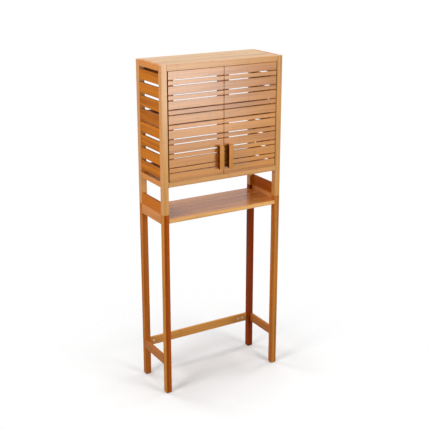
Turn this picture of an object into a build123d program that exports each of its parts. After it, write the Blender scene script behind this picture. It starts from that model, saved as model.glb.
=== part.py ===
from build123d import *
import os

# Slatted bamboo cabinet on four legs that stands over a washing machine.
# X runs across the front, Y from the front to the back and Z up, in millimetres.
# The origin is on the floor, in the middle of the whole width and depth, handles included.

# Overall sizes of the frame
overall_width = 660.0
frame_depth = 260.0
overall_height = 1645.0

# Uprights: dark legs below, lighter cabinet posts on top of them
post_width = 30.0
post_depth = 30.0
post_ease = 2.0
end_ease = 0.6
joint_rise = 23.0

# Loose tenons that hold each post on its leg
tenon_width = 16.0
tenon_thickness = 8.0
tenon_length = 40.0
tenon_fit = 0.1

# Glides under the legs
glide_size = 26.0
glide_thickness = 4.0
glide_corner = 5.0

# Rails and boards that tie a front upright to a rear one
rail_thickness = 16.0
rail_ease = 1.2
leg_rail_height = 49.0
side_board_height = 55.0
side_board_recess = 1.0
stretcher_bottom = 152.0
stretcher_height = 44.0

# Back stretcher with its cam fittings and the one small disc beside the right cam
back_stretcher_thickness = 12.0
cam_diameter = 12.0
cam_web = 2.0
cam_inset = 27.0
cam_slot_width = 1.6
cam_slot_length = 7.5
cam_slot_depth = 1.5
cam_pin_diameter = 6.0
cam_pin_seat = 10.0
disc_diameter = 9.0
disc_depth = 6.0
disc_inset = 55.0
fitting_clearance = 0.1

# Open shelf over the machine
shelf_clearance = 895.0
shelf_thickness = 20.0
shelf_ease = 2.0

# Cabinet box
niche_height = 157.0
bottom_rail_height = 25.0
top_rail_height = 28.0
front_rail_depth = 22.0
panel_thickness = 15.0
panel_ease = 1.0
back_rail_thickness = 15.0
back_rail_top_height = 80.0
back_rail_middle_height = 48.0
back_rail_bottom_height = 60.0
inner_shelf_drop = 9.0
inner_shelf_fit = 0.5
cleat_height = 25.0

# Slats of the cabinet's two sides
side_slat_height = 49.0
side_slat_gap = 14.2
side_slat_thickness = 12.0
side_slat_recess = 3.0
slat_ease = 1.0

# Doors: thin full-width slats, wide and narrow in turn, on two stiles
door_side_gap = 4.5
door_centre_gap = 3.0
door_end_clearance = 0.3
door_slat_wide = 39.0
door_slat_narrow = 19.5
door_slat_gap = 5.0
door_slat_thickness = 5.0
door_slat_ease = 0.8
stile_width = 29.0
stile_thickness = 10.0
stile_ease = 0.8

# Pivot pins in the doors and flanged bushes in the front rails
pin_diameter = 4.0
pin_seat = 18.0
pin_end_clearance = 2.0
pin_running_fit = 0.05
bush_diameter = 8.0
bush_length = 12.0
bush_flange_diameter = 11.0
bush_flange_thickness = 0.8

# Pulls with a T section, screwed on through the inner stiles
handle_height = 114.0
handle_width = 25.0
handle_reach = 28.0
handle_cap = 10.0
handle_neck = 11.0
handle_rise = 31.0
handle_offset = 12.0
handle_round = 3.0
handle_lip_round = 1.0
handle_root = 2.0
handle_end_ease = 1.2
screw_diameter = 4.0
screw_spacing = 80.0
screw_bite = 12.0
screw_head_diameter = 7.5
screw_head_height = 2.2
screw_fit = 0.1

# Double magnetic catch behind the upper front rail and its strike plates
catch_wall = 4.0
catch_drop = 20.0
catch_headroom = 3.0
catch_depth = 14.0
catch_ease = 1.0
pole_width = 20.0
pole_height = 10.0
pole_depth = 3.0
strike_width = 22.0
strike_height = 14.0
strike_thickness = 1.2
catch_clearance = 0.3

# Levels and faces that follow from the sizes above
inner_width = overall_width - 2 * post_width
front = (handle_reach - frame_depth) / 2
back = front + frame_depth
post_x = (overall_width - post_width) / 2
front_post_y = front + post_depth / 2
rear_post_y = back - post_depth / 2
bay_front = front + post_depth
bay_back = back - post_depth
board_half = overall_width / 2 - rail_thickness
shelf_top = shelf_clearance + shelf_thickness
joint_height = shelf_top + joint_rise
cabinet_base = shelf_top + niche_height
cabinet_floor = cabinet_base + bottom_rail_height
cabinet_head = overall_height - top_rail_height
opening_height = cabinet_head - cabinet_floor
top_panel_level = overall_height - panel_thickness
inner_shelf_level = (cabinet_floor + top_panel_level - panel_thickness) / 2

# Door faces, pivot axes and the slat pattern that fills a door
door_end_gap = bush_flange_thickness + door_end_clearance
door_bottom = cabinet_floor + door_end_gap
door_top = cabinet_head - door_end_gap
door_height = door_top - door_bottom
door_outer = inner_width / 2 - door_side_gap
door_inner = door_centre_gap / 2
door_back = front + door_slat_thickness + stile_thickness
stile_y = front + door_slat_thickness + stile_thickness / 2
outer_stile_x = door_outer - stile_width / 2
inner_stile_x = door_inner + stile_width / 2
door_pitch = door_slat_wide + door_slat_narrow + 2 * door_slat_gap
door_pairs = max(1, round((door_height - door_slat_wide) / door_pitch))
door_slat_end = (door_height - door_pairs * door_pitch + door_slat_wide) / 2
wide_base = door_bottom + door_slat_end - door_slat_wide
wide_levels = [[wide_base + index * door_pitch, wide_base + index * door_pitch + door_slat_wide]
               for index in range(door_pairs + 1)]
wide_levels[0][0], wide_levels[-1][1] = door_bottom, door_top
narrow_levels = [wide_base + door_slat_wide + door_slat_gap + door_slat_narrow / 2 + index * door_pitch
                 for index in range(door_pairs)]
handle_x = door_inner + handle_offset + handle_width / 2
handle_bottom = door_bottom + handle_rise
screw_levels = [handle_bottom + (handle_height + sign * screw_spacing) / 2 for sign in (-1, 1)]

# Side slats: as many as fit between the two rails, centred in the height that they leave
side_pitch = side_slat_height + side_slat_gap
side_slats = max(1, int((opening_height - side_slat_gap / 2) // side_pitch))
side_slat_base = cabinet_floor + (opening_height + side_slat_gap - side_slats * side_pitch) / 2

os.makedirs("parts", exist_ok=True)


def save(piece, name):
    """Label a finished piece and write it to its own file."""
    piece.part.label = name
    export_step(piece.part, f"parts/{name}.step")


def upright(x, y, bottom, top, socket_level):
    """Square upright with eased edges and ends and a mortise for the loose tenon at one end."""
    inward = -1 if socket_level == top else 1
    with BuildPart() as piece:
        with BuildSketch(Plane.XY.offset(bottom)) as section:
            with Locations((x, y)):
                Rectangle(post_width, post_depth)
            chamfer(section.vertices(), post_ease)
        extrude(amount=top - bottom)
        chamfer(piece.faces().filter_by(Axis.Z).edges(), end_ease)
        with BuildSketch(Plane.XY.offset(socket_level)):
            with Locations((x, y)):
                Rectangle(tenon_thickness + 2 * tenon_fit, tenon_width + 2 * tenon_fit)
        extrude(amount=inward * (tenon_length / 2 + tenon_fit), mode=Mode.SUBTRACT)
    return piece


def rail_along_y(side, recess, thickness, bottom, height, ease):
    """Rail from the front upright to the rear one, set in from the cabinet's outer side face."""
    x = side * (overall_width / 2 - recess - thickness / 2)
    with BuildPart() as piece:
        with BuildSketch(Plane.XZ.offset(-bay_back)) as section:
            with Locations((x, bottom + height / 2)):
                Rectangle(thickness, height)
            chamfer(section.vertices(), ease)
        extrude(amount=bay_back - bay_front)
    return piece


def rail_along_x(y_near, y_far, bottom, height, ease):
    """Rail that fills the width between the left and right uprights."""
    with BuildPart() as piece:
        with BuildSketch(Plane.YZ.offset(-inner_width / 2)) as section:
            with Locations(((y_near + y_far) / 2, bottom + height / 2)):
                Rectangle(y_far - y_near, height)
            chamfer(section.vertices(), ease)
        extrude(amount=inner_width)
    return piece


def notched_board(half_width, y_near, y_far, bottom, thickness, ease):
    """Laminated board, notched round every upright that it meets, with eased long edges."""
    with BuildPart() as piece:
        with BuildSketch(Plane.XY.offset(bottom)):
            with Locations((0, (y_near + y_far) / 2)):
                Rectangle(2 * half_width, y_far - y_near)
            with Locations(*[(sx * post_x, y) for sx in (-1, 1) for y in (front_post_y, rear_post_y)]):
                Rectangle(post_width, post_depth, mode=Mode.SUBTRACT)
        extrude(amount=thickness)
        long_edges = piece.edges().filter_by(Axis.X)
        chamfer(long_edges.group_by(Axis.Y)[0] + long_edges.group_by(Axis.Y)[-1], ease)
    return piece


# Legs, posts and the glides under the legs
for side, hand in ((-1, "left"), (1, "right")):
    for y, place in ((front_post_y, "front"), (rear_post_y, "rear")):
        leg = upright(side * post_x, y, glide_thickness, joint_height, joint_height)
        if place == "rear":
            with leg:
                with Locations(Plane(
                        origin=(side * inner_width / 2, back - back_stretcher_thickness / 2,
                                stretcher_bottom + stretcher_height / 2), z_dir=(-side, 0, 0))):
                    Hole(cam_pin_diameter / 2 + fitting_clearance, cam_pin_seat + fitting_clearance)
        save(leg, f"leg_{place}_{hand}")
        post = upright(side * post_x, y, joint_height, overall_height, joint_height)
        save(post, f"post_{place}_{hand}")

with BuildPart() as foot_glides:
    with BuildSketch():
        with Locations(*[(sx * post_x, y) for sx in (-1, 1) for y in (front_post_y, rear_post_y)]):
            RectangleRounded(glide_size, glide_size, glide_corner)
    extrude(amount=glide_thickness)
save(foot_glides, "foot_glides")

with BuildPart() as loose_tenons:
    with BuildSketch(Plane.XY.offset(joint_height - tenon_length / 2)):
        with Locations(*[(sx * post_x, y) for sx in (-1, 1) for y in (front_post_y, rear_post_y)]):
            Rectangle(tenon_thickness, tenon_width)
    extrude(amount=tenon_length)
save(loose_tenons, "loose_tenons")

# Side frames: leg rails, low stretchers, side boards, cabinet rails and slats
for side, hand in ((-1, "left"), (1, "right")):
    save(rail_along_y(side, 0, rail_thickness, joint_height - leg_rail_height, leg_rail_height, rail_ease),
         f"leg_rail_{hand}")
    save(rail_along_y(side, 0, rail_thickness, stretcher_bottom, stretcher_height, rail_ease),
         f"side_stretcher_{hand}")
    save(rail_along_y(side, side_board_recess, rail_thickness - side_board_recess, joint_height,
                      side_board_height, rail_ease), f"side_board_{hand}")
    save(rail_along_y(side, 0, rail_thickness, cabinet_base, bottom_rail_height, rail_ease),
         f"side_bottom_rail_{hand}")
    save(rail_along_y(side, 0, rail_thickness, cabinet_head, top_rail_height, rail_ease),
         f"side_top_rail_{hand}")

    with BuildPart() as slat_panel:
        slat_x = side * (overall_width / 2 - side_slat_recess - side_slat_thickness / 2)
        with BuildSketch(Plane.XZ.offset(-bay_back)) as section:
            for index in range(side_slats):
                with Locations((slat_x, side_slat_base + index * side_pitch + side_slat_height / 2)):
                    Rectangle(side_slat_thickness, side_slat_height)
            chamfer(section.vertices(), slat_ease)
        extrude(amount=bay_back - bay_front)
    save(slat_panel, f"side_slats_{hand}")

# Back stretcher between the rear legs, bored for its two cams, their pins and the small disc
stretcher_level = stretcher_bottom + stretcher_height / 2
stretcher_face = back - back_stretcher_thickness
cam_depth = back_stretcher_thickness - cam_web
cam_x = inner_width / 2 - cam_inset
disc_x = inner_width / 2 - disc_inset
back_stretcher = rail_along_x(stretcher_face, back, stretcher_bottom, stretcher_height, rail_ease)
with back_stretcher:
    with Locations(*[Plane(origin=(sx * cam_x, stretcher_face, stretcher_level), z_dir=(0, -1, 0))
                     for sx in (-1, 1)]):
        Hole(cam_diameter / 2 + fitting_clearance, cam_depth + fitting_clearance)
    with Locations(Plane(origin=(disc_x, stretcher_face, stretcher_level), z_dir=(0, -1, 0))):
        Hole(disc_diameter / 2 + fitting_clearance, disc_depth + fitting_clearance)
    with Locations(*[Plane(origin=(sx * inner_width / 2, back - back_stretcher_thickness / 2, stretcher_level),
                           z_dir=(sx, 0, 0)) for sx in (-1, 1)]):
        Hole(cam_pin_diameter / 2 + fitting_clearance, cam_inset)
save(back_stretcher, "back_stretcher")

with BuildPart() as stretcher_cams:
    for sx in (-1, 1):
        cam_plane = Plane(origin=(sx * cam_x, stretcher_face, stretcher_level), z_dir=(0, -1, 0))
        with BuildSketch(cam_plane):
            Circle(cam_diameter / 2)
        extrude(amount=-cam_depth)
        with BuildSketch(cam_plane):
            Rectangle(cam_slot_length, cam_slot_width)
            Rectangle(cam_slot_width, cam_slot_length)
        extrude(amount=-cam_slot_depth, mode=Mode.SUBTRACT)
save(stretcher_cams, "stretcher_cams")

with BuildPart() as cam_pins:
    for sx in (-1, 1):
        with BuildSketch(Plane(origin=(sx * (inner_width / 2 + cam_pin_seat),
                                       back - back_stretcher_thickness / 2, stretcher_level),
                               z_dir=(-sx, 0, 0))):
            Circle(cam_pin_diameter / 2)
        extrude(amount=cam_pin_seat + cam_inset - cam_diameter / 2 - fitting_clearance)
save(cam_pins, "cam_pins")

with BuildPart() as stretcher_disc:
    with BuildSketch(Plane(origin=(disc_x, stretcher_face, stretcher_level), z_dir=(0, -1, 0))):
        Circle(disc_diameter / 2)
    extrude(amount=-disc_depth)
save(stretcher_disc, "stretcher_disc")

# Open shelf, cabinet floor, top and inner shelf: solid boards that run through to the side rails
open_shelf = notched_board(board_half, front, back, shelf_clearance, shelf_thickness, shelf_ease)
save(open_shelf, "open_shelf")

bottom_panel = notched_board(board_half, front + front_rail_depth, back - back_rail_thickness,
                             cabinet_floor - panel_thickness, panel_thickness, panel_ease)
save(bottom_panel, "bottom_panel")

top_panel = notched_board(board_half, front + front_rail_depth, back, top_panel_level, panel_thickness,
                          panel_ease)
save(top_panel, "top_panel")

inner_shelf_half = overall_width / 2 - side_slat_recess - side_slat_thickness - inner_shelf_fit
inner_shelf = notched_board(inner_shelf_half, bay_front, back - back_rail_thickness - inner_shelf_fit,
                            inner_shelf_level, panel_thickness, panel_ease)
save(inner_shelf, "inner_shelf")

with BuildPart() as shelf_cleats:
    cleat_thickness = post_width - side_slat_recess - side_slat_thickness
    with BuildSketch(Plane.XZ.offset(-bay_back)) as cleat_section:
        with Locations(*[(sx * (inner_width + cleat_thickness) / 2, inner_shelf_level - cleat_height / 2)
                         for sx in (-1, 1)]):
            Rectangle(cleat_thickness, cleat_height)
        chamfer(cleat_section.vertices(), rail_ease)
    extrude(amount=bay_back - bay_front)
save(shelf_cleats, "shelf_cleats")

# Back rails
back_face = back - back_rail_thickness
save(rail_along_x(back_face, back, top_panel_level - back_rail_top_height, back_rail_top_height, rail_ease),
     "back_rail_top")
save(rail_along_x(back_face, back, inner_shelf_level - inner_shelf_drop, back_rail_middle_height, rail_ease),
     "back_rail_middle")
save(rail_along_x(back_face, back, cabinet_base, back_rail_bottom_height, rail_ease), "back_rail_bottom")

# Front rails above and below the doors, each bored for two pivot bushes
for name, bottom, height, seat, toward_door in (
        ("front_rail_top", cabinet_head, top_rail_height, cabinet_head, -1),
        ("front_rail_bottom", cabinet_base, bottom_rail_height, cabinet_floor, 1)):
    front_rail = rail_along_x(front, front + front_rail_depth, bottom, height, rail_ease)
    with front_rail:
        with Locations(*[Plane(origin=(sx * outer_stile_x, stile_y, seat), z_dir=(0, 0, toward_door))
                         for sx in (-1, 1)]):
            Hole(bush_diameter / 2 + fitting_clearance, bush_length + fitting_clearance)
    save(front_rail, name)

with BuildPart() as pivot_bushes:
    for sx in (-1, 1):
        for seat, toward_door in ((cabinet_head, -1), (cabinet_floor, 1)):
            seat_plane = Plane(origin=(sx * outer_stile_x, stile_y, seat), z_dir=(0, 0, toward_door))
            with BuildSketch(seat_plane):
                Circle(bush_flange_diameter / 2)
            extrude(amount=bush_flange_thickness)
            with BuildSketch(seat_plane):
                Circle(bush_diameter / 2)
            extrude(amount=-bush_length)
            with BuildSketch(seat_plane.offset(bush_flange_thickness)):
                Circle(pin_diameter / 2 + pin_running_fit)
            extrude(amount=-bush_flange_thickness - bush_length, mode=Mode.SUBTRACT)
save(pivot_bushes, "pivot_bushes")

# Double magnetic catch: a stepped case that hangs behind the upper rail and laps under it
catch_face = door_back + strike_thickness + catch_clearance
rail_back = front + front_rail_depth
strike_level = cabinet_head - catch_drop / 2
catch_foot = cabinet_head - catch_drop
catch_top = top_panel_level - catch_headroom
catch_width = 2 * (inner_stile_x + pole_width / 2 + catch_wall)
with BuildPart() as catch_case:
    with BuildSketch(Plane.YZ.offset(-catch_width / 2)) as catch_profile:
        with BuildLine():
            Polyline((catch_face, catch_foot), (rail_back + catch_depth, catch_foot),
                     (rail_back + catch_depth, catch_top), (rail_back, catch_top),
                     (rail_back, cabinet_head), (catch_face, cabinet_head), close=True)
        make_face()
        fillet(catch_profile.vertices().sort_by(Axis.Z)[:2], catch_ease)
    extrude(amount=catch_width)
    with BuildSketch(Plane(origin=(0, catch_face, strike_level), x_dir=(1, 0, 0), z_dir=(0, -1, 0))):
        with Locations(*[(sx * inner_stile_x, 0) for sx in (-1, 1)]):
            Rectangle(pole_width, pole_height)
    extrude(amount=-pole_depth, mode=Mode.SUBTRACT)
save(catch_case, "catch_case")

with BuildPart() as catch_poles:
    with BuildSketch(Plane(origin=(0, catch_face, strike_level), x_dir=(1, 0, 0), z_dir=(0, -1, 0))):
        with Locations(*[(sx * inner_stile_x, 0) for sx in (-1, 1)]):
            Rectangle(pole_width, pole_height)
    extrude(amount=-pole_depth)
save(catch_poles, "catch_poles")

# The two doors
for side, hand in ((-1, "left"), (1, "right")):
    screw_planes = [Plane(origin=(side * handle_x, door_back, level), z_dir=(0, 1, 0)) for level in screw_levels]
    door_near = min(side * door_inner, side * door_outer)
    door_width = door_outer - door_inner

    with BuildPart() as stiles:
        with BuildSketch(Plane.XY.offset(door_bottom)) as section:
            with Locations((side * outer_stile_x, stile_y), (side * inner_stile_x, stile_y)):
                Rectangle(stile_width, stile_thickness)
            chamfer(section.vertices(), stile_ease)
        extrude(amount=door_height)
        with Locations(Plane(origin=(side * outer_stile_x, stile_y, door_top), z_dir=(0, 0, 1)),
                       Plane(origin=(side * outer_stile_x, stile_y, door_bottom), z_dir=(0, 0, -1))):
            Hole(pin_diameter / 2 + pin_running_fit, pin_seat + pin_running_fit)
        with Locations(*screw_planes):
            Hole(screw_diameter / 2 + screw_fit, stile_thickness)
    save(stiles, f"{hand}_door_stiles")

    with BuildPart() as wide_slats:
        with BuildSketch(Plane.YZ.offset(door_near)) as section:
            for low, high in wide_levels:
                with Locations((front + door_slat_thickness / 2, (low + high) / 2)):
                    Rectangle(door_slat_thickness, high - low)
            chamfer(section.vertices(), door_slat_ease)
        extrude(amount=door_width)
        with Locations(*screw_planes):
            Hole(screw_diameter / 2 + screw_fit, stile_thickness + door_slat_thickness)
    save(wide_slats, f"{hand}_door_wide_slats")

    with BuildPart() as narrow_slats:
        with BuildSketch(Plane.YZ.offset(door_near)) as section:
            for level in narrow_levels:
                with Locations((front + door_slat_thickness / 2, level)):
                    Rectangle(door_slat_thickness, door_slat_narrow)
            chamfer(section.vertices(), door_slat_ease)
        extrude(amount=door_width)
        with Locations(*screw_planes):
            Hole(screw_diameter / 2 + screw_fit, stile_thickness + door_slat_thickness)
    save(narrow_slats, f"{hand}_door_narrow_slats")

    with BuildPart() as handle:
        with BuildSketch(Plane.XY.offset(handle_bottom)) as profile:
            with Locations((side * handle_x, front - handle_reach + handle_cap / 2)):
                Rectangle(handle_width, handle_cap)
            with Locations((side * handle_x, front - (handle_reach - handle_cap / 2) / 2)):
                Rectangle(handle_neck, handle_reach - handle_cap / 2)
            cap_corners, lip_corners = profile.vertices().group_by(Axis.Y)[:2]
            roots = lip_corners.sort_by(Axis.X)[1:3]
            lips = lip_corners.sort_by(Axis.X)[::3]
            fillet(cap_corners, handle_round)
            fillet(lips, handle_lip_round)
            fillet(roots, handle_root)
        extrude(amount=handle_height)
        chamfer(handle.faces().filter_by(Axis.Z).edges().filter_by(lambda e: e.center().Y < front - 1e-3),
                handle_end_ease)
        with Locations(*screw_planes):
            Hole(screw_diameter / 2 + screw_fit, stile_thickness + door_slat_thickness + screw_bite + screw_fit)
    save(handle, f"{hand}_handle")

    with BuildPart() as handle_screws:
        for screw_plane in screw_planes:
            with BuildSketch(screw_plane):
                Circle(screw_head_diameter / 2)
            extrude(amount=screw_head_height)
            with BuildSketch(screw_plane):
                Circle(screw_diameter / 2)
            extrude(amount=-(stile_thickness + door_slat_thickness + screw_bite))
    save(handle_screws, f"{hand}_handle_screws")

    with BuildPart() as pivot_pins:
        for level, outward in ((door_top, 1), (door_bottom, -1)):
            with BuildSketch(Plane(origin=(side * outer_stile_x, stile_y, level - outward * pin_seat),
                                   z_dir=(0, 0, outward))):
                Circle(pin_diameter / 2)
            extrude(amount=pin_seat + door_end_gap + bush_length - pin_end_clearance)
    save(pivot_pins, f"{hand}_pivot_pins")

    with BuildPart() as strike_plate:
        with BuildSketch(Plane(origin=(side * inner_stile_x, door_back, strike_level), x_dir=(1, 0, 0),
                               z_dir=(0, -1, 0))):
            Rectangle(strike_width, strike_height)
        extrude(amount=-strike_thickness)
    save(strike_plate, f"{hand}_strike_plate")
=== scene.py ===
"""Washing machine cabinet of slatted bamboo: its finishes, its small fittings and the studio it stands in.

Every size is in metres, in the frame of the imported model: X to the right, Y to the back, Z up.
"""

from __future__ import annotations

import logging
import math
from dataclasses import dataclass
from enum import Enum
from typing import Callable, Mapping, Sequence, Union

import bmesh
import bpy
from mathutils import Matrix, Vector


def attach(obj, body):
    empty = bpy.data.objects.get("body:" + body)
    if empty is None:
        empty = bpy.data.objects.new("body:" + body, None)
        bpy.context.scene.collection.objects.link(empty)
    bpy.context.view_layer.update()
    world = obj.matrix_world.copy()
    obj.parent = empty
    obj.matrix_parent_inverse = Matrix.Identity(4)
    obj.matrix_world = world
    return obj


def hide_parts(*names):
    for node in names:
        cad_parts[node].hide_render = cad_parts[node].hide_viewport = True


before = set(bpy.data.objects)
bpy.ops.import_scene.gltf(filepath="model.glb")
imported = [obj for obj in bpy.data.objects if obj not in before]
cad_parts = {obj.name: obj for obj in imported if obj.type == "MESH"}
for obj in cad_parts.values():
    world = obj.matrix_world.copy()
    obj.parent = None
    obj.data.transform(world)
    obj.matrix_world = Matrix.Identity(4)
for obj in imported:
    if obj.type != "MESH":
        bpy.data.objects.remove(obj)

log = logging.getLogger("cabinet")

Colour = tuple[float, float, float]
Owner = Union[bpy.types.Material, bpy.types.World]
SAME_PLACE = 1e-6


def paint(red: float, green: float, blue: float) -> Colour:
    """Turns a colour as seen on a screen into the linear values that a shader takes.

    Args:
        red: Red, 0 to 255.
        green: Green, 0 to 255.
        blue: Blue, 0 to 255.

    Returns:
        The three linear values, 0 to 1.
    """

    def linear(level: float) -> float:
        """One channel, from its screen level to linear."""
        share = level / 255
        return share / 12.92 if share <= 0.04045 else ((share + 0.055) / 1.055) ** 2.4

    return linear(red), linear(green), linear(blue)


class Value:
    """A number that the shader works out, used in plain expressions."""

    def __init__(self, recipe: Recipe, socket: bpy.types.NodeSocket) -> None:
        """Keeps the socket and the recipe it belongs to.

        Args:
            recipe: The recipe whose node tree holds the socket.
            socket: The output socket that carries the number.
        """
        self.recipe = recipe
        self.socket = socket

    def __add__(self, other: Number) -> Value:
        """Sum."""
        return self.recipe.math("ADD", self, other)

    __radd__ = __add__

    def __sub__(self, other: Number) -> Value:
        """Difference."""
        return self.recipe.math("SUBTRACT", self, other)

    def __rsub__(self, other: Number) -> Value:
        """Difference with this value taken away."""
        return self.recipe.math("SUBTRACT", other, self)

    def __mul__(self, other: Number) -> Value:
        """Product."""
        return self.recipe.math("MULTIPLY", self, other)

    __rmul__ = __mul__

    def __truediv__(self, other: Number) -> Value:
        """Quotient."""
        return self.recipe.math("DIVIDE", self, other)

    def __rtruediv__(self, other: Number) -> Value:
        """Quotient with this value as the divisor."""
        return self.recipe.math("DIVIDE", other, self)

    def __abs__(self) -> Value:
        """Size without sign."""
        return self.recipe.math("ABSOLUTE", self, 0.0)

    def floor(self) -> Value:
        """Whole part, rounded down."""
        return self.recipe.math("FLOOR", self, 0.0)

    def fract(self) -> Value:
        """What is left above the whole part."""
        return self.recipe.math("FRACT", self, 0.0)

    def lowest(self, other: Number) -> Value:
        """The smaller of two values."""
        return self.recipe.math("MINIMUM", self, other)

    def highest(self, other: Number) -> Value:
        """The larger of two values."""
        return self.recipe.math("MAXIMUM", self, other)

    def rise(self, start: float, end: float) -> Value:
        """Goes smoothly from 0 at start to 1 at end.

        Args:
            start: Where it is 0.
            end: Where it is 1; below start for a value that falls.

        Returns:
            The smooth step, 0 to 1.
        """
        if start > end:
            return 1.0 - self.rise(end, start)
        made = self.recipe.node(
            "ShaderNodeMapRange",
            {"interpolation_type": "SMOOTHSTEP"},
            {"Value": self, "From Min": start, "From Max": end, "To Min": 0.0, "To Max": 1.0},
        )
        return Value(self.recipe, made.outputs["Result"])


Number = Union[float, Value]


class Recipe:
    """The node tree of one material or world, filled step by step."""

    def __init__(self, owner: Owner) -> None:
        """Starts with an empty tree.

        Args:
            owner: The material or world that the tree belongs to.
        """
        self.owner = owner
        self.owner.use_nodes = True
        self.tree = self.owner.node_tree
        self.tree.nodes.clear()

    def node(
        self, kind: str, settings: Mapping[str, object], inputs: Mapping[Union[str, int], object]
    ) -> bpy.types.Node:
        """Adds one node, sets it, then fills or links its sockets.

        Args:
            kind: The node's type.
            settings: Its properties.
            inputs: A value, a colour, a Value or a socket for each input, by name or number.

        Returns:
            The node.
        """
        made = self.tree.nodes.new(kind)
        for key, value in settings.items():
            setattr(made, key, value)
        for key, value in inputs.items():
            socket = made.inputs[key]
            if isinstance(value, Value):
                self.tree.links.new(value.socket, socket)
            elif isinstance(value, bpy.types.NodeSocket):
                self.tree.links.new(value, socket)
            elif socket.type == "RGBA":
                socket.default_value = (*value[:3], 1.0)
            else:
                socket.default_value = value
        return made

    def math(self, operation: str, first: Number, second: Number) -> Value:
        """Adds one Math node.

        Args:
            operation: The node's operation.
            first: Its first number.
            second: Its second number.

        Returns:
            The result.
        """
        made = self.node("ShaderNodeMath", {"operation": operation}, {0: first, 1: second})
        return Value(self, made.outputs[0])

    def place(self) -> tuple[Value, Value, Value]:
        """The three coordinates of the point on the piece, in metres."""
        coordinates = self.node("ShaderNodeTexCoord", {}, {})
        parts = self.node("ShaderNodeSeparateXYZ", {}, {0: coordinates.outputs["Object"]})
        return tuple(Value(self, socket) for socket in parts.outputs)

    def facing(self) -> tuple[Value, Value, Value]:
        """How far the surface faces along each axis of the piece, 0 to 1."""
        coordinates = self.node("ShaderNodeTexCoord", {}, {})
        parts = self.node("ShaderNodeSeparateXYZ", {}, {0: coordinates.outputs["Normal"]})
        return tuple(abs(Value(self, socket)) for socket in parts.outputs)

    def point(self, first: Number, second: Number, third: Number) -> bpy.types.NodeSocket:
        """Joins three numbers into a vector."""
        return self.node("ShaderNodeCombineXYZ", {}, {0: first, 1: second, 2: third}).outputs[0]

    def chance(self, first: Number, second: Number, third: Number) -> Value:
        """A random number from 0 to 1 that is the same wherever the three numbers are the same."""
        where = self.point(first, second, third)
        made = self.node("ShaderNodeTexWhiteNoise", {"noise_dimensions": "3D"}, {"Vector": where})
        return Value(self, made.outputs["Value"])

    def noise(self, where: bpy.types.NodeSocket, detail: float = 2.0, roughness: float = 0.5) -> Value:
        """Smooth noise around 0.5.

        Args:
            where: The point, already scaled to the size of the pattern.
            detail: How many finer layers are added.
            roughness: How strong these are.

        Returns:
            The noise.
        """
        made = self.node(
            "ShaderNodeTexNoise",
            {"noise_dimensions": "3D"},
            {"Vector": where, "Scale": 1.0, "Detail": detail, "Roughness": roughness},
        )
        return Value(self, made.outputs[0])

    def blend(self, factor: Number, under: object, over: object) -> bpy.types.NodeSocket:
        """Mixes two colours.

        Args:
            factor: How much of the second shows.
            under: The first colour, or its socket.
            over: The second colour, or its socket.

        Returns:
            The socket of the mixed colour.
        """
        settings = {"data_type": "RGBA", "blend_type": "MIX", "clamp_factor": True}
        return self.node("ShaderNodeMix", settings, {0: factor, 6: under, 7: over}).outputs[2]

    def times(self, colour: bpy.types.NodeSocket, gain: Colour) -> bpy.types.NodeSocket:
        """Multiplies a colour by a gain for each channel."""
        return self.node("ShaderNodeVectorMath", {"operation": "MULTIPLY"}, {0: colour, 1: gain}).outputs[0]

    def corners(self, start: float, end: float) -> Value:
        """Where the surface turns round an edge or a corner, 0 to 1."""
        x, y, z = self.facing()
        return (x * y + y * z + x * z).rise(start, end)

    def bump(self, height: Value, depth: float, strength: float = 1.0) -> bpy.types.NodeSocket:
        """The normal of a surface that rises and falls with a value."""
        made = self.node("ShaderNodeBump", {}, {"Height": height, "Distance": depth, "Strength": strength})
        return made.outputs["Normal"]

    def surface(self, inputs: Mapping[Union[str, int], object]) -> Owner:
        """Ends the recipe with a Principled shader.

        Args:
            inputs: Values or links for the shader's sockets.

        Returns:
            The material that is finished by it.
        """
        shader = self.node("ShaderNodeBsdfPrincipled", {}, inputs)
        self.node("ShaderNodeOutputMaterial", {}, {"Surface": shader.outputs[0]})
        return self.owner


class Grain(Enum):
    """The way the fibres of a piece run, as the order of its along, width and thickness axes."""

    ACROSS = (0, 1, 2)
    BACKWARD = (1, 2, 0)
    UPRIGHT = (2, 0, 1)
    ACROSS_ON_EDGE = (0, 2, 1)


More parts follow.
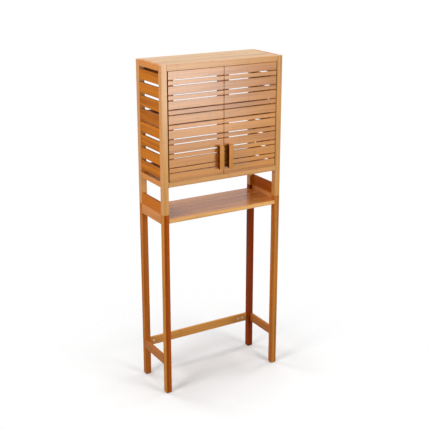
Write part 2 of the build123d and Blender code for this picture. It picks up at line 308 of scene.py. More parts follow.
@dataclass(frozen=True)
class Bamboo:
    """Varnished bamboo laminate: glued strips with fibres, knuckles and a satin coat.

    A strip is strip_width wide and strip_layer thick. Lengths are in metres, and the *_per_metre values say
    how finely a pattern repeats across the fibres. The side tone is painted shading on the faces turned to
    side_axis:
    where it is darker than the tone it paints shade on them, where it is paler it paints a highlight.
    """

    name: str
    grain: Grain
    tone: Colour
    strip_width: float = 0.020
    strip_layer: float = 0.006
    strip_start: float = 0.0
    side_shading_tone: Colour | None = None
    side_axis: int = 0
    strip_contrast: float = 0.5
    streak: float = 0.55
    knuckle_spacing: float = 0.38
    knuckle_strength: float = 0.22
    edge_highlight: float = 0.35
    roughness: float = 0.45
    sheen_level: float = 0.10
    varnish: float = 0.08
    varnish_roughness: float = 0.30
    pale_gain: Colour = (1.22, 1.30, 1.45)
    deep_gain: Colour = (0.62, 0.50, 0.40)
    fibres_per_metre: float = 620.0
    streaks_per_metre: float = 130.0
    clouds_per_metre: float = 14.0
    pores_per_metre: float = 1500.0
    knuckle_line: tuple[float, float] = (0.0022, 0.0006)
    knuckle_halo: tuple[float, float] = (0.011, 0.002)
    glue_line: tuple[float, float] = (0.00045, 0.0001)
    relief: float = 0.00022

    @property
    def pale(self) -> Colour:
        """The lightest fibres."""
        return tuple(min(0.95, part * gain) for part, gain in zip(self.tone, self.pale_gain))

    @property
    def deep(self) -> Colour:
        """The darkest fibres."""
        return tuple(part * gain for part, gain in zip(self.tone, self.deep_gain))

    def darker(self, share: float) -> Colour:
        """The darkest fibres, down to a share of their tone."""
        return tuple(part * share for part in self.deep)

    def make(self) -> bpy.types.Material:
        """Builds the material.

        Returns:
            The material.
        """
        recipe = Recipe(bpy.data.materials.new(self.name))
        place = recipe.place()
        along, wide, thick = (place[axis] for axis in self.grain.value)
        wide = wide - self.strip_start
        row, layer = (wide / self.strip_width).floor(), (thick / self.strip_layer).floor()
        tint, shift = recipe.chance(row, layer, 3.1), recipe.chance(row, layer, 8.7)

        def pattern(
            length: float, slide: float, per_metre: float, bend: Number, detail: float, rough: float
        ) -> Value:
            """Noise drawn out along the fibres, of its own in each strip."""
            where = recipe.point(along * length + shift * slide, wide * per_metre + bend, thick * per_metre)
            return recipe.noise(where, detail, rough)

        wander = recipe.noise(recipe.point(along * 7.0, wide * 9.0, thick * 9.0), 1.0)
        fibre = pattern(9.0, 40.0, self.fibres_per_metre, wander * 3.0, 3.0, 0.6)
        streak = pattern(2.6, 17.0, self.streaks_per_metre, wander * 2.0, 2.0, 0.55)
        cloud = pattern(3.2, 5.0, self.clouds_per_metre, 0.0, 2.0, 0.5)
        pits = recipe.point(along * 55.0, wide * self.pores_per_metre, thick * self.pores_per_metre)
        pore = recipe.noise(pits, 1.0).rise(0.63, 0.74)

        step = ((along + wander * 0.004) / self.knuckle_spacing + shift * 6.0).fract()
        away = abs(step - 0.5) * self.knuckle_spacing
        line, halo = away.rise(*self.knuckle_line), away.rise(*self.knuckle_halo)
        rim = self.strip_width * 0.5
        glue = (abs((wide / self.strip_width).fract() - 0.5) * self.strip_width).rise(
            rim - self.glue_line[0], rim - self.glue_line[1]
        )

        mix = (streak - 0.5) * (2.4 * self.streak) + (tint - 0.5) * self.strip_contrast + (cloud - 0.5) * 0.9
        mix = mix + (fibre - 0.5) * 0.9 * self.streak
        lighter = (0.5 - mix).rise(0.0, 1.0)
        colour = recipe.blend((0.5 + mix).rise(0.0, 1.0), self.pale, self.tone)
        colour = recipe.blend((mix - 0.12).rise(0.0, 0.85) * 0.8, colour, self.deep)
        colour = recipe.blend(halo * 0.45 * self.knuckle_strength, colour, self.deep)
        colour = recipe.blend(line * self.knuckle_strength, colour, self.darker(0.42))
        colour = recipe.blend(glue * 0.35 + pore * 0.22, colour, self.darker(0.5))
        # Painted shading: faces turned to side_axis get the side tone, darker for painted shade or paler for
        # a painted highlight.
        if self.side_shading_tone:
            gain = tuple(other / part for other, part in zip(self.side_shading_tone, self.tone))
            side = recipe.facing()[self.side_axis].rise(0.5, 0.8)
            colour = recipe.blend(side, colour, recipe.times(colour, gain))
        # Painted highlight: edges and corners are blended towards the pale fibre tone, standing in for light
        # caught on the eased edges.
        corner = recipe.corners(0.15, 0.48)
        colour = recipe.blend(corner * self.edge_highlight * (0.55 + lighter * 0.45), colour, self.pale)

        height = fibre * 0.5 + streak * 0.3 - line * 0.7 - glue * 0.5 + halo * 0.3 - pore * 0.4
        return recipe.surface(
            {
                "Base Color": colour,
                "Roughness": self.roughness + (fibre - 0.5) * 0.16 + line * 0.12 + corner * 0.06,
                "IOR": 1.47,
                "Specular IOR Level": self.sheen_level,
                "Coat Weight": self.varnish,
                "Coat Roughness": self.varnish_roughness,
                "Coat IOR": 1.5,
                "Normal": recipe.bump(height, self.relief, 0.55),
            }
        )


@dataclass(frozen=True)
class Metal:
    """Plated or cast metal, with fine scratches and a little tarnish."""

    name: str
    bright: Colour
    dull: Colour
    roughness: float = 0.3
    scratch: float = 0.5

    def make(self) -> bpy.types.Material:
        """Builds the material.

        Returns:
            The material.
        """
        recipe = Recipe(bpy.data.materials.new(self.name))
        across, deep, up = recipe.place()
        cast = recipe.noise(recipe.point(across * 900.0, deep * 900.0, up * 900.0), 2.0)
        scratches = recipe.noise(recipe.point(across * 300.0, deep * 300.0, up * 2600.0), 2.0)
        stain = recipe.noise(recipe.point(across * 140.0, deep * 140.0, up * 140.0), 2.0)
        colour = recipe.blend(stain.rise(0.42, 0.7), self.bright, self.dull)
        height = cast * (1.0 - self.scratch) + scratches * self.scratch
        return recipe.surface(
            {
                "Base Color": colour,
                "Metallic": 0.9,
                "Roughness": self.roughness + (cast - 0.5) * 0.2 + (scratches - 0.5) * 0.1,
                "Normal": recipe.bump(height, 0.00005, 0.5),
            }
        )


@dataclass(frozen=True)
class Plastic:
    """Moulded plastic with a fine spark-eroded grain."""

    name: str
    body: Colour
    worn: Colour
    roughness: float = 0.5

    def make(self) -> bpy.types.Material:
        """Builds the material.

        Returns:
            The material.
        """
        recipe = Recipe(bpy.data.materials.new(self.name))
        across, deep, up = recipe.place()
        grain = recipe.noise(recipe.point(across * 1800.0, deep * 1800.0, up * 1800.0), 2.0)
        scuff = recipe.noise(recipe.point(across * 90.0, deep * 90.0, up * 90.0), 3.0)
        worn = (scuff.rise(0.5, 0.75) * 0.5 + recipe.corners(0.2, 0.5) * 0.35).lowest(1.0)
        return recipe.surface(
            {
                "Base Color": recipe.blend(worn, self.body, self.worn),
                "Roughness": self.roughness + (scuff - 0.5) * 0.2,
                "Normal": recipe.bump(grain, 0.00006, 0.5),
            }
        )


class Workpiece:
    """A new piece while it is being shaped."""

    merge_distance: float = 1e-7
    sharp_angle: float = math.radians(38)
    recess_taper: float = 0.7

    def __init__(self) -> None:
        """Starts with nothing."""
        self.shape = bmesh.new()

    def block(self, low: Sequence[float], high: Sequence[float]) -> None:
        """Adds a block between two corners.

        Args:
            low: The lowest corner.
            high: The highest corner.
        """
        size = Vector(high) - Vector(low)
        middle = (Vector(high) + Vector(low)) / 2
        placed = Matrix.Translation(middle) @ Matrix.Diagonal((*size, 1.0))
        bmesh.ops.create_cube(self.shape, size=1.0, matrix=placed)

    def plate(self, outline: Sequence[Sequence[float]]) -> bmesh.types.BMFace:
        """Adds one flat face through a few points."""
        return self.shape.faces.new([self.shape.verts.new(point) for point in outline])

    def drum(self, centre: Sequence[float], along: Sequence[float], radius: float, segments: int) -> None:
        """Adds a solid drum.

        Args:
            centre: The middle of its first end.
            along: The way to its other end.
            radius: Its radius.
            segments: How many sides it has.
        """
        turn = Vector(along).to_track_quat("Z", "Y").to_matrix().to_4x4()
        known = set(self.shape.faces)
        placed = Matrix.Translation(Vector(centre)) @ turn
        bmesh.ops.create_circle(self.shape, cap_ends=True, segments=segments, radius=radius, matrix=placed)
        self.pull([face for face in self.shape.faces if face not in known], along)

    def pull(self, faces: Sequence[bmesh.types.BMFace], along: Sequence[float]) -> list[bmesh.types.BMFace]:
        """Extrudes faces as one region.

        Args:
            faces: The faces to pull.
            along: How far they go.

        Returns:
            The faces at the far end.
        """
        made = bmesh.ops.extrude_face_region(self.shape, geom=list(faces))["geom"]
        moved = [item for item in made if isinstance(item, bmesh.types.BMVert)]
        bmesh.ops.translate(self.shape, verts=moved, vec=Vector(along))
        return [item for item in made if isinstance(item, bmesh.types.BMFace)]

    def round_off(self, radius: float, segments: int, test: Callable[[Vector, Vector], bool]) -> None:
        """Rounds edges off.

        Args:
            radius: How far the rounding reaches on each side.
            segments: How many facets it has.
            test: Says of an edge's two ends whether it is rounded.
        """
        bmesh.ops.bevel(
            self.shape,
            geom=[edge for edge in self.shape.edges if test(edge.verts[0].co, edge.verts[1].co)],
            offset=radius,
            offset_type="OFFSET",
            affect="EDGES",
            segments=segments,
            profile=0.5,
            material=-1,
            clamp_overlap=True,
        )

    def cross_recess(
        self, centre: Sequence[float], facing: float, length: float, width: float, depth: float
    ) -> None:
        """Sinks a screwdriver cross into a face that is square to the Y axis.

        Args:
            centre: The middle of the cross, on the face.
            facing: -1 where the face looks to the front, 1 where it looks to the back.
            length: The cross's length.
            width: The width of its arms.
            depth: How deep it goes.
        """
        middle = Vector(centre)

        def on_face() -> list[bmesh.types.BMFace]:
            """The faces in the plane of the cross, near its middle."""
            return [
                face
                for face in self.shape.faces
                if all(abs(corner.co.y - middle.y) < SAME_PLACE for corner in face.verts)
                and (face.calc_center_median() - middle).length < 2 * length
            ]

        for across in (Vector((1, 0, 0)), Vector((0, 0, 1))):
            for reach in (width / 2, length / 2, -width / 2, -length / 2):
                parts = set(on_face())
                for face in tuple(parts):
                    parts.update(face.edges, face.verts)
                bmesh.ops.bisect_plane(
                    self.shape,
                    geom=list(parts),
                    dist=self.merge_distance,
                    plane_co=middle + across * reach,
                    plane_no=across,
                )
        arms = []
        for face in on_face():
            off = face.calc_center_median() - middle
            if max(abs(off.x), abs(off.z)) < length / 2 and min(abs(off.x), abs(off.z)) < width / 2:
                arms.append(face)
        floor = self.pull(arms, (0.0, -facing * depth, 0.0))
        corners = list({corner for face in floor for corner in face.verts})
        taper = (self.recess_taper, 1.0, self.recess_taper)
        bmesh.ops.scale(self.shape, verts=corners, vec=taper, space=Matrix.Translation(-middle))

    def finish(
        self, name: str, body: str, slot: str, material: bpy.types.Material, stands_for: Sequence[str]
    ) -> bpy.types.Object:
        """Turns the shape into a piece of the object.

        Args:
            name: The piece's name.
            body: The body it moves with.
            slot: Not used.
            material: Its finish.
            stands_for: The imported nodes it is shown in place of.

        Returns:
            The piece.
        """
        bmesh.ops.remove_doubles(self.shape, verts=self.shape.verts, dist=self.merge_distance)
        bmesh.ops.recalc_face_normals(self.shape, faces=self.shape.faces)
        mesh = bpy.data.meshes.new(name)
        self.shape.to_mesh(mesh)
        self.shape.free()
        mesh.materials.append(material)
        mesh.shade_smooth()
        mesh.set_sharp_from_angle(angle=self.sharp_angle)
        piece = bpy.data.objects.new(name, mesh)
        bpy.context.scene.collection.objects.link(piece)
        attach(piece, body)
        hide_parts(*stands_for)
        log.info("%s: %d faces, rides on %s", name, len(mesh.polygons), body)
        return piece


@dataclass
class Viewpoint:
    """The camera, at the place the photograph was taken from."""

    azimuth: float = 30.7
    elevation: float = 17.1
    location: tuple[float, float, float] = (-2.110, -3.586, 2.240)
    focal_pixels: float = 874.0
    axis_row: float = 195.0
    picture: float = 430.0
    sensor: float = 36.0

    def build(self) -> bpy.types.Object:
        """Makes the camera and sets it as the scene's own.

        Returns:
            The camera.
        """
        data = bpy.data.cameras.new("viewpoint")
        data.sensor_width = self.sensor
        data.lens = self.focal_pixels / self.picture * self.sensor
        data.shift_y = (self.axis_row - self.picture / 2) / self.picture
        camera = bpy.data.objects.new("viewpoint", data)
        bpy.context.scene.collection.objects.link(camera)
        turn, drop = math.radians(self.azimuth), math.radians(self.elevation)
        ahead = Vector((math.sin(turn) * math.cos(drop), math.cos(turn) * math.cos(drop), -math.sin(drop)))
        camera.rotation_mode = "QUATERNION"
        camera.rotation_quaternion = ahead.to_track_quat("-Z", "Y")
        camera.location = self.location
        bpy.context.scene.camera = camera
        return camera


@dataclass(frozen=True)
class Lamp:
    """One soft studio lamp."""

    name: str
    location: tuple[float, float, float]
    aim: tuple[float, float, float]
    width: float
    height: float
    power: float

    def build(self) -> bpy.types.Object:
        """Hangs the lamp and turns it to its aim.

        Returns:
            The lamp.
        """
        data = bpy.data.lights.new(self.name, "AREA")
        data.shape = "RECTANGLE"
        data.size = self.width
        data.size_y = self.height
        data.energy = self.power
        lamp = bpy.data.objects.new(self.name, data)
        bpy.context.scene.collection.objects.link(lamp)
        lamp.location = self.location
        lamp.rotation_mode = "QUATERNION"
        lamp.rotation_quaternion = (Vector(self.aim) - Vector(self.location)).to_track_quat("-Z", "Y")
        return lamp


@dataclass
class Studio:
    """A pale floor that fades into white, soft lamps and a white surround."""

    floor_radius: float = 1.2
    floor_fade: float = 1.0
    floor_clear: float = 0.02
    floor_shown: float = 0.90
    floor_bounce: float = 0.28
    surround: float = 0.21
    lamps: tuple[Lamp, ...] = (
        Lamp("key_softbox", (1.05, -2.7, 1.22), (-0.15, 0.0, 1.25), 1.0, 1.0, 40.0),
        Lamp("top_softbox", (0.2, 0.0, 6.0), (0.1, 0.0, 0.0), 3.0, 2.4, 150.0),
        Lamp("left_softbox", (-3.1, -0.9, 1.9), (0.0, 0.0, 1.2), 1.2, 1.6, 68.0),
        Lamp("right_softbox", (3.1, 0.3, 1.9), (0.0, 0.0, 1.1), 1.2, 1.6, 26.0),
        Lamp("back_softbox", (-1.6, 2.9, 2.7), (0.0, 0.0, 1.1), 1.4, 1.4, 34.0),
    )

    def build(self) -> None:
        """Builds the floor, the surround and the lamps."""
        self._floor()
        self._surround()
        for lamp in self.lamps:
            lamp.build()
        bpy.context.scene.view_settings.view_transform = "Standard"

    def _seen(self, recipe: Recipe) -> Value:
        """Whether a ray comes from the camera, or through or off a glossy surface."""
        path = recipe.node("ShaderNodeLightPath", {}, {}).outputs
        kinds = ("Is Camera Ray", "Is Glossy Ray", "Is Transmission Ray")
        camera, glossy, through = (Value(recipe, path[kind]) for kind in kinds)
        return camera.highest(glossy).highest(through)

    def _floor(self) -> None:
        """Makes the round floor, which keeps the shadow and fades to white at its rim."""
        mesh = bpy.data.meshes.new("studio_floor")
        shape = bmesh.new()
        bmesh.ops.create_circle(shape, cap_ends=True, segments=96, radius=self.floor_radius)
        shape.to_mesh(mesh)
        shape.free()
        floor = bpy.data.objects.new("studio_floor", mesh)
        bpy.context.scene.collection.objects.link(floor)
        recipe = Recipe(bpy.data.materials.new("studio_floor_white"))
        across, deep, _ = recipe.place()
        reach = recipe.math("SQRT", across * across + deep * deep, 0.0)
        fade = reach.rise(self.floor_radius - self.floor_fade, self.floor_radius - self.floor_clear)
        shade = recipe.blend(self._seen(recipe), (self.floor_bounce,) * 3, (self.floor_shown,) * 3)
        paper = recipe.node("ShaderNodeBsdfDiffuse", {}, {"Color": shade}).outputs[0]
        clear = recipe.node("ShaderNodeBsdfTransparent", {}, {}).outputs[0]
        both = recipe.node("ShaderNodeMixShader", {}, {0: fade, 1: paper, 2: clear})
        recipe.node("ShaderNodeOutputMaterial", {}, {"Surface": both.outputs[0]})
        floor.data.materials.append(recipe.owner)

    def _surround(self) -> None:
        """Makes the world: white where it is seen, softer where it only lights the object."""
        world = bpy.data.worlds.new("studio_surround")
        bpy.context.scene.world = world
        recipe = Recipe(world)
        strength = self._seen(recipe) * (1.0 - self.surround) + self.surround
        glow = recipe.node("ShaderNodeBackground", {}, {"Color": (1.0, 1.0, 1.0), "Strength": strength})
        recipe.node("ShaderNodeOutputWorld", {}, {"Surface": glow.outputs[0]})


def dress(names: Sequence[str], material: bpy.types.Material) -> None:
    """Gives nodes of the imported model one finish.

    Args:
        names: The nodes.
        material: The finish.
    """
    for name in names:
        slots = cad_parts[name].data.materials
        slots.clear()
        slots.append(material)
        log.info("%s: %s", name, material.name)


@dataclass
class BaseFrame:
    """The four dark legs with their rails, stretchers, glides and fittings.

    A cross is given by its length, the width of its arms and its depth. The mark on a cam is given by how far
    its tip and its base lie from the cam's centre, half its width and its height.
    """

    glide_size: float = 0.026
    glide_thickness: float = 0.004
    glide_corner: float = 0.005
    glide_edge: float = 0.0012
    glide_rim: float = 0.0045
    glide_hollow: float = 0.0016
    leg_x: float = 0.315
    leg_y: tuple[float, float] = (-0.101, 0.129)
    # Each leg's front and side tones paint the light and shade its front and side faces show; the rear-right
    # leg's darker tone is painted shade.
    leg_shading_tones: tuple[tuple[str, Colour, Colour], ...] = (
        ("front_left", paint(166, 78, 18), paint(186, 122, 46)),
        ("front_right", paint(188, 118, 48), paint(178, 98, 34)),
        ("rear_left", paint(170, 92, 30), paint(184, 106, 34)),
        ("rear_right", paint(130, 48, 8), paint(128, 48, 10)),
    )
    fitting_face: float = 0.132
    fitting_level: float = 0.174
    cam_x: float = 0.273
    cam_radius: float = 0.006
    cam_depth: float = 0.010
    cam_edge: float = 0.0005
    cam_cross: tuple[float, float, float] = (0.0072, 0.0016, 0.0015)
    cam_mark: tuple[float, float, float, float] = (0.0052, 0.0042, 0.0009, 0.00015)
    disc_x: float = 0.245
    disc_radius: float = 0.0045
    disc_depth: float = 0.006
    disc_dome: float = 0.0009

    def build(self) -> None:
        """Builds and finishes every piece of the base."""
        self.dress()
        self._glides(Plastic("glide_grey", paint(120, 118, 114), paint(150, 148, 144)).make())
        zinc = Metal("cam_zinc_cast", paint(222, 216, 205), paint(176, 168, 156), 0.36, 0.2).make()
        self._cams(zinc)
        self._disc(zinc)

    def _glides(self, finish: bpy.types.Material) -> None:
        """Builds the four glides, each with a soft foot and a sunk middle."""
        work = Workpiece()
        half = self.glide_size / 2
        for x in (-self.leg_x, self.leg_x):
            for y in self.leg_y:
                work.block((x - half, y - half, 0.0), (x + half, y + half, self.glide_thickness))
        work.round_off(self.glide_corner, 6, lambda a, b: abs(a.z - b.z) > self.glide_thickness / 2)
        work.round_off(self.glide_edge, 3, lambda a, b: max(a.z, b.z) < SAME_PLACE)
        soles = [face for face in work.shape.faces if all(corner.co.z < SAME_PLACE for corner in face.verts)]
        bmesh.ops.inset_region(work.shape, faces=soles, thickness=self.glide_rim, use_even_offset=True)
        work.pull(soles, (0.0, 0.0, self.glide_hollow))
        work.finish("glides_moulded", "frame", "grey_plastic", finish, ["foot_glides"])

    def _cams(self, finish: bpy.types.Material) -> None:
        """Builds the two cams, each with a rim, a screwdriver cross and a mark towards its pin."""
        work = Workpiece()
        face, level = self.fitting_face, self.fitting_level
        tip, base, half, height = self.cam_mark
        for side in (-1, 1):
            middle = (side * self.cam_x, face, level)
            work.drum(middle, (0.0, self.cam_depth, 0.0), self.cam_radius, segments=40)
        work.round_off(self.cam_edge, 3, lambda a, b: max(abs(a.y - face), abs(b.y - face)) < SAME_PLACE)
        for side in (-1, 1):
            x = side * self.cam_x
            work.cross_recess((x, face, level), -1, *self.cam_cross)
            ends = [(x + side * base, face, level + up * half) for up in (-1, 1)]
            mark = work.plate([(x + side * tip, face, level)] + ends)
            work.pull([mark], (0.0, -height, 0.0))
        work.finish("cams_turned", "frame", "cam_zinc", finish, ["stretcher_cams"])

    def _disc(self, finish: bpy.types.Material) -> None:
        """Builds the small round cap beside the right cam."""
        work = Workpiece()
        face = self.fitting_face
        middle = (self.disc_x, face, self.fitting_level)
        work.drum(middle, (0.0, self.disc_depth, 0.0), self.disc_radius, segments=36)
        work.round_off(self.disc_dome, 4, lambda a, b: max(abs(a.y - face), abs(b.y - face)) < SAME_PLACE)
        work.finish("disc_domed", "frame", "cam_zinc", finish, ["stretcher_disc"])

    def dress(self) -> None:
        """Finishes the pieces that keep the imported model's shape."""
        for place, tone, side_shading_tone in self.leg_shading_tones:
            leg = Bamboo(
                f"leg_bamboo_{place}",
                Grain.UPRIGHT,
                tone,
                0.0093,
                0.0093,
                side_shading_tone=side_shading_tone,
                strip_contrast=0.9,
                streak=0.8,
                sheen_level=0.05,
                varnish=0.03,
            )
            dress([f"leg_{place}"], leg.make())
        rails = Bamboo("leg_rail_bamboo", Grain.BACKWARD, paint(194, 122, 60), 0.018)
        dress(["leg_rail_left", "leg_rail_right"], rails.make())
        sides = Bamboo("side_stretcher_bamboo", Grain.BACKWARD, paint(172, 100, 40), 0.018, sheen_level=0.06)
        dress(["side_stretcher_left", "side_stretcher_right"], sides.make())
        stretcher = Bamboo("back_stretcher_bamboo", Grain.ACROSS_ON_EDGE, paint(204, 138, 66), 0.022)
        dress(["back_stretcher"], stretcher.make())
        steel = Metal("steel_plated", paint(205, 205, 200), paint(150, 148, 142), 0.28, 0.6)
        dress(["cam_pins"], steel.make())


@dataclass
class CabinetFrame:
    """The light posts, the side and front rails, the side slats and the back rails."""

    # The right board's darker tone than the left is painted shade, for the shade on its inner face.
    side_board_tones: tuple[tuple[str, Colour], ...] = (
        ("left", paint(184, 100, 20)),
        ("right", paint(170, 84, 16)),
    )
    side_slat_strip: float = 0.0632 / 3
    side_slat_start: float = 1.2305

    def dress(self) -> None:
        """Finishes every piece of the cabinet's frame."""
        posts = Bamboo(
            "post_bamboo",
            Grain.UPRIGHT,
            paint(200, 140, 64),
            0.0093,
            0.0093,
            # Painted shade: the posts' faces turned to the sides get a darker tone than their fronts.
            side_shading_tone=paint(188, 120, 40),
            varnish=0.75,
            varnish_roughness=0.28,
        )
        dress(["post_front_left", "post_front_right", "post_rear_left", "post_rear_right"], posts.make())
        for hand, tone in self.side_board_tones:
            name = f"side_board_bamboo_{hand}"
            board = Bamboo(name, Grain.BACKWARD, tone, 0.021, sheen_level=0.04, varnish=0.02)
            dress([f"side_board_{hand}"], board.make())
        rails = Bamboo("side_rail_bamboo", Grain.BACKWARD, paint(196, 122, 52), 0.018)
        dress(
            ["side_bottom_rail_left", "side_bottom_rail_right", "side_top_rail_left", "side_top_rail_right"],
            rails.make(),
        )
        front = Bamboo("front_rail_bamboo", Grain.ACROSS_ON_EDGE, paint(198, 138, 70), 0.014, varnish=0.7)
        dress(["front_rail_top", "front_rail_bottom"], front.make())
        slats = Bamboo(
            "side_slat_bamboo",
            Grain.BACKWARD,
            paint(181, 102, 18),
            strip_width=self.side_slat_strip,
            strip_start=self.side_slat_start,
            strip_contrast=1.3,
            streak=0.95,
            sheen_level=0.04,
            varnish=0.02,
        )
        dress(["side_slats_left", "side_slats_right"], slats.make())
        inner = Bamboo("back_rail_bamboo", Grain.ACROSS_ON_EDGE, paint(170, 102, 48), 0.020, 0.005)
        dress(["back_rail_top", "back_rail_middle", "back_rail_bottom", "loose_tenons"], inner.make())


@dataclass
class Boards:
    """The open shelf, the cabinet's floor, its inner shelf and its top."""

    def dress(self) -> None:
        """Finishes every board."""
        shelf = Bamboo(
            "open_shelf_bamboo",
            Grain.ACROSS,
            paint(218, 138, 62),
            0.021,
            0.0066,
            # Painted highlight: the shelf's edges turned to the Y axis get a paler tone than its top.
            side_shading_tone=paint(222, 164, 92),
            side_axis=1,
            strip_contrast=1.2,
            streak=1.0,
            roughness=0.32,
            varnish=0.5,
            varnish_roughness=0.16,
        )
        dress(["open_shelf"], shelf.make())
        top = Bamboo(
            "top_bamboo",
            Grain.ACROSS,
            paint(200, 158, 112),
            0.021,
            0.005,
            strip_contrast=0.9,
            streak=0.9,
            varnish=0.25,
        )
        dress(["top_panel"], top.make())
        inner = Bamboo("inner_board_bamboo", Grain.ACROSS, paint(164, 98, 48), 0.021, 0.005)
        dress(["bottom_panel", "inner_shelf"], inner.make())
        cleats = Bamboo("cleat_bamboo", Grain.BACKWARD, paint(164, 98, 48), 0.021, 0.005)
        dress(["shelf_cleats"], cleats.make())


class Hand(Enum):
    """Which door."""

    LEFT = "left"
    RIGHT = "right"


@dataclass(frozen=True)
class DoorFinishes:
    """The materials that both doors share."""

    slats: bpy.types.Material
    stiles: bpy.types.Material
    pulls: bpy.types.Material
    flank_shade: bpy.types.Material
    steel: bpy.types.Material

    @classmethod
    def make(cls) -> DoorFinishes:
        """Builds the materials.

        Returns:
            The materials.
        """
        slats = Bamboo(
            "door_slat_bamboo",
            Grain.ACROSS_ON_EDGE,
            paint(190, 121, 40),
            0.0195,
            0.01,
            # Painted shade: the slats' ends, turned to the sides, get a dark tone for the shade in the gaps
            # round the doors.
            side_shading_tone=paint(112, 56, 20),
            strip_contrast=0.8,
            streak=0.8,
            varnish=1.0,
            varnish_roughness=0.28,
        )
        # The stiles' dark tone and darker sides are painted shade, for the shade in the gaps between and
        # beside the slats.
        stiles = Bamboo(
            "stile_bamboo", Grain.UPRIGHT, paint(160, 88, 32), 0.0145, side_shading_tone=paint(104, 50, 18)
        )
        pulls = Bamboo("pull_bamboo", Grain.UPRIGHT, paint(196, 132, 62), 0.007, 0.007)
        # Painted shade: the dark finish for the pulls' side faces stands in for the shadow under each pull's
        # cap and beside it.
        flank_shade = Bamboo(
            "pull_flank_painted_shade", Grain.UPRIGHT, paint(92, 28, 8), 0.007, 0.007, sheen_level=0.03, varnish=0.0
        )
        steel = Metal("fitting_steel", paint(205, 205, 200), paint(150, 148, 142), 0.28, 0.6)
        return cls(slats.make(), stiles.make(), pulls.make(), flank_shade.make(), steel.make())


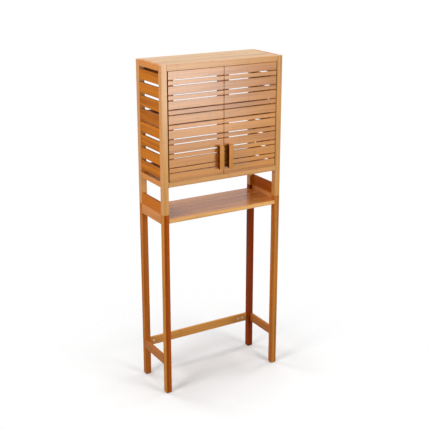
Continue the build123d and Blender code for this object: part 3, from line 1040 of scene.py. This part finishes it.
@dataclass
class Door:
    """One slatted door with its pull and its metal fittings.

    A cross is given by its length, the width of its arms and its depth.
    """

    hand: Hand
    finishes: DoorFinishes
    pull_x: float = 0.0260
    pull_low: float = 1.1291
    pull_high: float = 1.2431
    pull_width: float = 0.025
    pull_neck: float = 0.011
    pull_front: float = -0.144
    pull_cap: float = 0.010
    cap_front_round: float = 0.0035
    cap_back_round: float = 0.0014
    neck_fillet: float = 0.0022
    pull_end_round: float = 0.0012
    door_front: float = -0.116
    door_back: float = -0.101
    screw_levels: tuple[float, float] = (1.1461, 1.2261)
    screw_radius: float = 0.002
    head_radius: float = 0.00375
    head_height: float = 0.0022
    head_round: float = 0.0012
    head_cross: tuple[float, float, float] = (0.0038, 0.0009, 0.0011)
    screw_bite: float = 0.012
    strike_x: float = 0.016
    strike_z: float = 1.607
    strike_size: tuple[float, float, float] = (0.022, 0.0012, 0.014)
    strike_corner: float = 0.0025
    strike_edge: float = 0.0003
    strike_screw_radius: float = 0.0031
    strike_screw_sunk: float = 0.0008
    strike_screw_proud: float = 0.0001
    strike_cross: tuple[float, float, float] = (0.0036, 0.0008, 0.0007)

    def build(self) -> None:
        """Builds and finishes every piece of the door."""
        self.dress()
        self._pull()
        self._screws()
        self._strike()

    @property
    def side(self) -> int:
        """-1 for the left door, 1 for the right one."""
        return -1 if self.hand is Hand.LEFT else 1

    def _fit(
        self, work: Workpiece, kind: str, slot: str, finish: bpy.types.Material, node: str
    ) -> bpy.types.Object:
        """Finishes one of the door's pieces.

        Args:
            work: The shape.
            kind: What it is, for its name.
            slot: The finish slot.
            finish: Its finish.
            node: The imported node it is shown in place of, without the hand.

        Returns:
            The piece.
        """
        hand = self.hand.value
        return work.finish(f"{hand}_{kind}", f"{hand}_door", slot, finish, [f"{hand}_{node}"])

    def _pull(self) -> None:
        """Builds the pull: a rounded cap on a narrower neck, drawn up from one T-shaped section."""
        work = Workpiece()
        x, half, neck = self.side * self.pull_x, self.pull_width / 2, self.pull_neck / 2
        shoulder = self.pull_front + self.pull_cap
        section = [
            (x - half, self.pull_front),
            (x + half, self.pull_front),
            (x + half, shoulder),
            (x + neck, shoulder),
            (x + neck, self.door_front),
            (x - neck, self.door_front),
            (x - neck, shoulder),
            (x - half, shoulder),
        ]
        height = self.pull_high - self.pull_low
        work.pull([work.plate([(*point, self.pull_low) for point in section])], (0.0, 0.0, height))

        def upright(a: Vector, b: Vector, y: float, off: float) -> bool:
            """Whether an edge stands at one corner of the section."""
            away = max(abs(a.y - y), abs(abs(a.x - x) - off))
            return abs(a.z - b.z) > height / 2 and away < SAME_PLACE

        def outline(a: Vector, b: Vector) -> bool:
            """Whether an edge lies round an end of the pull, clear of the door."""
            return abs(a.z - b.z) < SAME_PLACE and max(a.y, b.y) < self.door_front - SAME_PLACE

        work.round_off(self.cap_front_round, 5, lambda a, b: upright(a, b, self.pull_front, half))
        work.round_off(self.cap_back_round, 3, lambda a, b: upright(a, b, shoulder, half))
        work.round_off(self.neck_fillet, 4, lambda a, b: upright(a, b, shoulder, neck))
        work.round_off(self.pull_end_round, 3, outline)
        pull = self._fit(work, "pull_rounded", "handle_bamboo", self.finishes.pulls, "handle")
        # The pull's faces turned to the sides get the dark flank finish: painted shade.
        pull.data.materials.append(self.finishes.flank_shade)
        for face in pull.data.polygons:
            face.material_index = int(abs(face.normal.x) > 0.8)

    def _screws(self) -> None:
        """Builds the two pan-head screws that hold the pull, each with a cross recess."""
        work = Workpiece()
        x, crown = self.side * self.pull_x, self.door_back + self.head_height
        for z in self.screw_levels:
            work.drum((x, self.door_back, z), (0.0, self.head_height, 0.0), self.head_radius, segments=32)
        work.round_off(self.head_round, 4, lambda a, b: min(a.y, b.y) > crown - SAME_PLACE)
        shank = self.door_front - self.door_back - self.screw_bite
        for z in self.screw_levels:
            work.cross_recess((x, crown, z), 1, *self.head_cross)
            work.drum((x, self.door_back, z), (0.0, shank, 0.0), self.screw_radius, segments=20)
        self._fit(work, "pull_screws", "steel", self.finishes.steel, "handle_screws")

    def _strike(self) -> None:
        """Builds the strike plate, with round corners and a countersunk screw in its middle."""
        work = Workpiece()
        wide, thin, tall = self.strike_size
        x, back = self.side * self.strike_x, self.door_back + thin
        low, high = self.strike_z - tall / 2, self.strike_z + tall / 2
        work.block((x - wide / 2, self.door_back, low), (x + wide / 2, back, high))
        work.round_off(self.strike_corner, 5, lambda a, b: abs(a.y - b.y) > thin / 2)
        work.round_off(self.strike_edge, 2, lambda a, b: min(a.y, b.y) > back - SAME_PLACE)
        sunk, proud = self.strike_screw_sunk, self.strike_screw_proud
        start = (x, back - sunk, self.strike_z)
        work.drum(start, (0.0, sunk + proud, 0.0), self.strike_screw_radius, segments=28)
        work.cross_recess((x, back + proud, self.strike_z), 1, *self.strike_cross)
        self._fit(work, "strike_rounded", "steel", self.finishes.steel, "strike_plate")

    def dress(self) -> None:
        """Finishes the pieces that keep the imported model's shape."""
        hand = self.hand.value
        dress([f"{hand}_door_wide_slats", f"{hand}_door_narrow_slats"], self.finishes.slats)
        dress([f"{hand}_door_stiles"], self.finishes.stiles)
        dress([f"{hand}_pivot_pins"], self.finishes.steel)


@dataclass
class Hardware:
    """The pivot bushes and the magnetic catch, fixed to the cabinet."""

    def dress(self, steel: bpy.types.Material) -> None:
        """Finishes the bushes, the catch and its poles."""
        brown = Plastic("brown_moulded", paint(112, 78, 50), paint(140, 104, 72), 0.42).make()
        dress(["pivot_bushes", "catch_case"], brown)
        dress(["catch_poles"], steel)


def main() -> None:
    """Builds the camera, the studio and every sub-assembly."""
    logging.basicConfig(level=logging.INFO, format="%(name)s: %(message)s")
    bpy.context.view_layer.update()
    Viewpoint().build()
    Studio().build()
    BaseFrame().build()
    CabinetFrame().dress()
    Boards().dress()
    finishes = DoorFinishes.make()
    for hand in Hand:
        Door(hand, finishes).build()
    Hardware().dress(finishes.steel)


if __name__ == "__main__":
    main()
